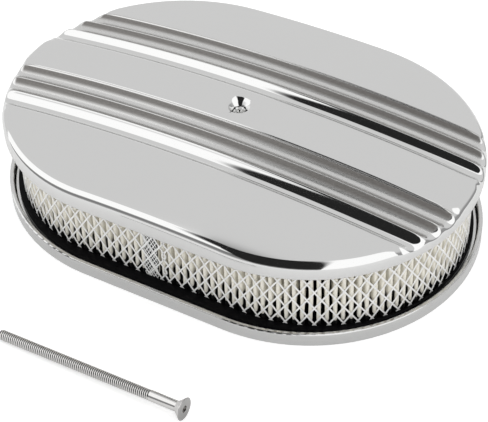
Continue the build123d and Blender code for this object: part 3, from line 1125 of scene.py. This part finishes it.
# Studio: levels of light, and edges of the softboxes from where they start to where they end
WHITE = (1.0, 1.0, 1.0, 1.0)
HORIZON = 0.03
WALL_LEVEL = 0.74
WALL_FALL = 0.40
WALL_TURN = (0.9, 2.4)
CEILING_EDGE = (0.385, 0.445)
BOX_LEVEL = 1.22
LEFT_BOX_SIDE = (-0.43, -0.37)
LEFT_BOX_FRONT = (-1.6, -0.9)
RIGHT_BOX_SKEW = (0.823, 0.569)
RIGHT_BOX_SIDE = (0.06, 0.13)
GAP_LEVEL = 0.02
FAR_LEVEL = 0.2
FAR_FRONT = (-4.0, -8.0)
LEFT_LEVEL = 0.22
LEFT_GAP_SIDE = (-0.5, -0.4)

# Floor: its glow for the camera, and the smaller one for glossy rays
FLOOR_REACH = 3.0
FLOOR_COLOUR = (0.85, 0.85, 0.85)
FLOOR_SEEN = 0.45
FLOOR_REFLECTED = 0.05

SENSOR_WIDTH = 36.0
NEAREST = 50 * MM


class AIRCLEANER_OT_studio(bpy.types.Operator):
    """Set up the white studio, its lights and the camera"""

    bl_idname = "aircleaner.studio"
    bl_label = "Studio"

    def execute(self, context):
        settings = context.scene.aircleaner_studio
        self.world(context.scene)
        self.floor()
        self.camera(context.scene, settings)
        context.scene.view_settings.view_transform = "Standard"
        return {"FINISHED"}

    def world(self, scene):
        """Plain white from all round. Glossy rays alone see two softboxes, the dark gap between
        them and a grey wall behind. Places are on a ceiling one unit above the part."""
        world = bpy.data.worlds.new("studio")
        scene.world = world
        tree = Tree(world)
        x, y, z = tree.split(tree.add("ShaderNodeTexCoord", {}, output="Generated"))
        height = z.at_least(HORIZON)
        right = x / height
        back = y / height
        wall = WALL_LEVEL - WALL_FALL * right.step(*WALL_TURN)
        front = 1 - back.step(*CEILING_EDGE)
        left_box = (1 - right.step(*LEFT_BOX_SIDE)) * back.step(*LEFT_BOX_FRONT)
        right_box = (right * RIGHT_BOX_SKEW[0] + back * RIGHT_BOX_SKEW[1]).step(*RIGHT_BOX_SIDE)
        far = back.step(*FAR_FRONT)
        left = 1 - right.step(*LEFT_GAP_SIDE)
        dark = GAP_LEVEL + FAR_LEVEL * far + LEFT_LEVEL * left
        boxes = left_box.at_least(right_box)
        ahead = dark + (BOX_LEVEL - dark) * boxes
        studio = wall + (ahead - wall) * front
        path = tree.node("ShaderNodeLightPath", {})
        glossy = Value(tree, path.outputs["Is Glossy Ray"])
        level = 1.0 + (studio - 1.0) * glossy
        tree.finish(
            tree.add("ShaderNodeBackground", {}, WHITE, level), "ShaderNodeOutputWorld"
        )

    def floor(self):
        bm = bmesh.new()
        bmesh.ops.create_grid(bm, x_segments=1, y_segments=1, size=FLOOR_REACH)
        mesh = bpy.data.meshes.new("floor")
        bm.to_mesh(mesh)
        bm.free()
        floor = bpy.data.objects.new("floor", mesh)
        bpy.context.scene.collection.objects.link(floor)
        material, tree = new_material("floor")
        path = tree.node("ShaderNodeLightPath", {})
        seen = Value(tree, path.outputs["Is Camera Ray"])
        glossy = Value(tree, path.outputs["Is Glossy Ray"])
        matt = tree.add("ShaderNodeBsdfDiffuse", {}, colour(FLOOR_COLOUR))
        level = seen * FLOOR_SEEN + glossy * FLOOR_REFLECTED
        glow = tree.add("ShaderNodeEmission", {}, WHITE, level)
        tree.finish(tree.add("ShaderNodeAddShader", {}, matt, glow))
        mesh.materials.append(material)

    def camera(self, scene, settings):
        turn = settings.camera_turn
        height = settings.camera_height
        back = Vector((
            math.sin(turn) * math.cos(height), -math.cos(turn) * math.cos(height), math.sin(height)
        ))
        level = Vector((0, 0, 1)).cross(back).normalized()
        upright = back.cross(level)
        right = math.cos(settings.camera_roll) * level + math.sin(settings.camera_roll) * upright
        up = back.cross(right)
        data = bpy.data.cameras.new("camera")
        data.lens = settings.camera_lens
        data.sensor_width = SENSOR_WIDTH
        data.sensor_fit = "HORIZONTAL"
        data.clip_start = NEAREST
        camera = bpy.data.objects.new("camera", data)
        scene.collection.objects.link(camera)
        turned = Matrix((right, up, back)).transposed().to_4x4()
        place = Vector(settings.look_at) + back * settings.camera_distance
        camera.matrix_world = Matrix.Translation(place) @ turned
        scene.camera = camera


class AIRCLEANER_PT_panel(bpy.types.Panel):
    """Air cleaner tools"""

    bl_label = "Air Cleaner"
    bl_idname = "AIRCLEANER_PT_panel"
    bl_space_type = "VIEW_3D"
    bl_region_type = "UI"
    bl_category = "Air Cleaner"

    def draw(self, context):
        for group_name, group in SETTINGS.items():
            box = self.layout.box()
            box.label(text=group.__doc__)
            for setting in group.__annotations__:
                box.prop(getattr(context.scene, group_name), setting)
        for operator in OPERATORS:
            self.layout.operator(operator.bl_idname)


OPERATORS = (
    AIRCLEANER_OT_cover,
    AIRCLEANER_OT_tray,
    AIRCLEANER_OT_seals,
    AIRCLEANER_OT_paper,
    AIRCLEANER_OT_meshes,
    AIRCLEANER_OT_bolt,
    AIRCLEANER_OT_studio,
)
SETTINGS = {
    "aircleaner_cover": CoverSettings,
    "aircleaner_tray": TraySettings,
    "aircleaner_element": ElementSettings,
    "aircleaner_bolt": BoltSettings,
    "aircleaner_studio": StudioSettings,
}


def register():
    for group in (*SETTINGS.values(), *OPERATORS, AIRCLEANER_PT_panel):
        bpy.utils.register_class(group)
    for name, settings in SETTINGS.items():
        setattr(bpy.types.Scene, name, PointerProperty(type=settings))


def unregister():
    for name in SETTINGS:
        delattr(bpy.types.Scene, name)
    for group in reversed((*SETTINGS.values(), *OPERATORS, AIRCLEANER_PT_panel)):
        bpy.utils.unregister_class(group)


def main():
    register()
    bpy.ops.aircleaner.cover()
    bpy.ops.aircleaner.tray()
    bpy.ops.aircleaner.seals()
    bpy.ops.aircleaner.paper()
    bpy.ops.aircleaner.meshes()
    bpy.ops.aircleaner.bolt()
    bpy.ops.aircleaner.studio()


if __name__ == "__main__":
    main()
